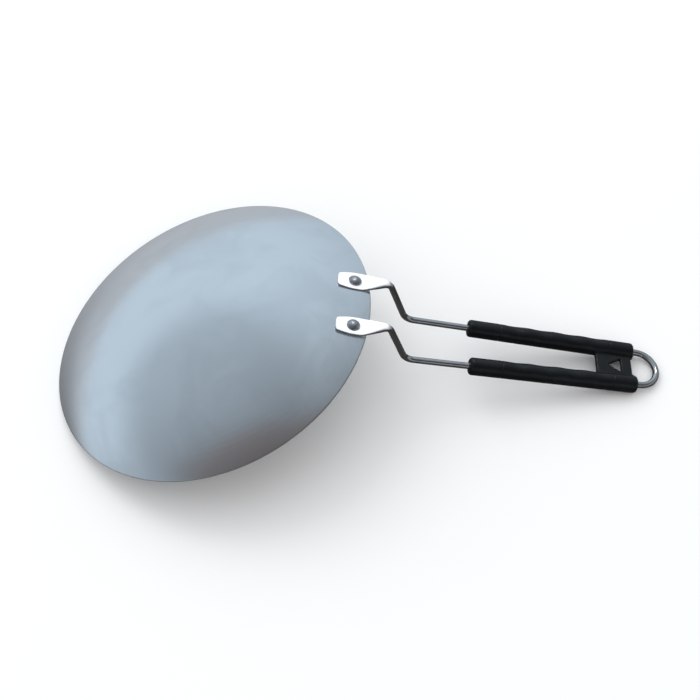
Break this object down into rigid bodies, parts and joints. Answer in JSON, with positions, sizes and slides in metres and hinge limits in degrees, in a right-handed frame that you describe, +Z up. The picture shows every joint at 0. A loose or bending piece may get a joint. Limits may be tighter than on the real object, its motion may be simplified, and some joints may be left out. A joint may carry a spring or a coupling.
{
  "type": "domed griddle pan",
  "caption": "Round shallow domed sheet-metal pan, shown crown up, with a long cranked wire handle riveted at the rim, a black ribbed double-sleeve grip and a hanging loop.",
  "frame": {"origin": "on the surface that the pan lies on, under the middle of its bounding box; the pan lies crown up on its far rim and the end of its handle", "axes": "+X from the dish towards the hanging loop, +Z up, +Y to the right of someone who holds the grip and looks at the dish; XZ is the plane of symmetry"},
  "size_m": [0.4795, 0.26, 0.0873],
  "materials": {
    "dish_metal": "satin, finely turned, slightly bluish",
    "wire_metal": "bright plated steel wire",
    "grip_plastic": "black moulded plastic with a soft sheen",
    "rivet_metal": "dull grey"
  },
  "bodies": {
    "root": {"dish": "dish_metal", "handle_wire": "wire_metal", "grip": "grip_plastic", "rivet_left": "rivet_metal", "rivet_right": "rivet_metal"}
  },
  "joints": []
}
